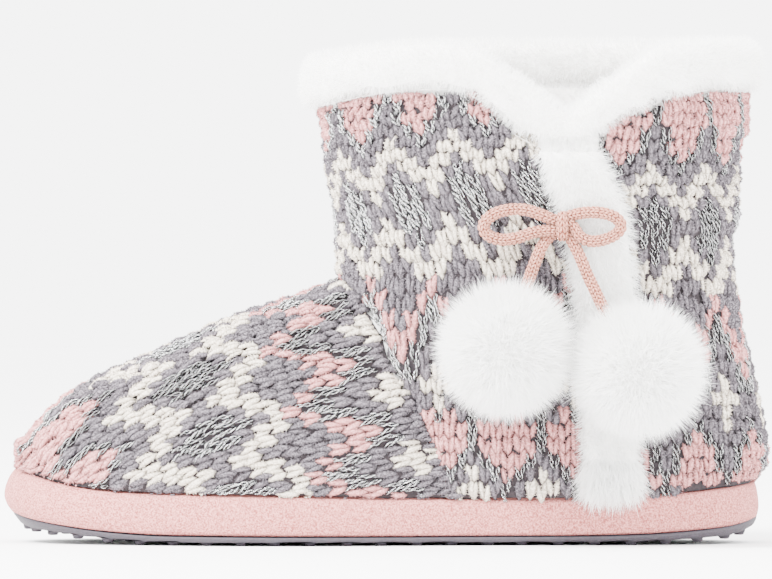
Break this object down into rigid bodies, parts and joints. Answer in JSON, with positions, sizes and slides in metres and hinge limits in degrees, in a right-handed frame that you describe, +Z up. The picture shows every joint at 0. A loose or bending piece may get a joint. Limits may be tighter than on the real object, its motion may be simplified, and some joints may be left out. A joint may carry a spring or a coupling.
{
  "type": "slipper bootie",
  "caption": "Left ankle-high knitted slipper bootie with a fur cuff, a fur-trimmed side slit, a cord bow with two pompoms and a soft sole.",
  "frame": {"origin": "on the floor under the middle of the shoe's box", "axes": "+Z up, toe towards -X, outer side with the slit and bow towards -Y"},
  "size_m": [0.262, 0.1339, 0.174],
  "materials": {
    "outsole": "matte moulded",
    "suede_band": "brushed microsuede",
    "knit": "chunky chenille knit with metallic yarn",
    "fur": "soft faux fur",
    "cord": "knitted cord"
  },
  "bodies": {
    "root": {"outsole": "outsole", "midsole": "suede_band", "insole": "fur", "vamp": "knit", "shaft": "knit", "collar_fur": "fur", "slit_fur": "fur", "bow_knot": "cord", "bow_loop_left": "cord", "bow_loop_right": "cord", "tail_left": "cord", "tail_right": "cord", "pompom_left": "fur", "pompom_right": "fur"}
  },
  "joints": []
}
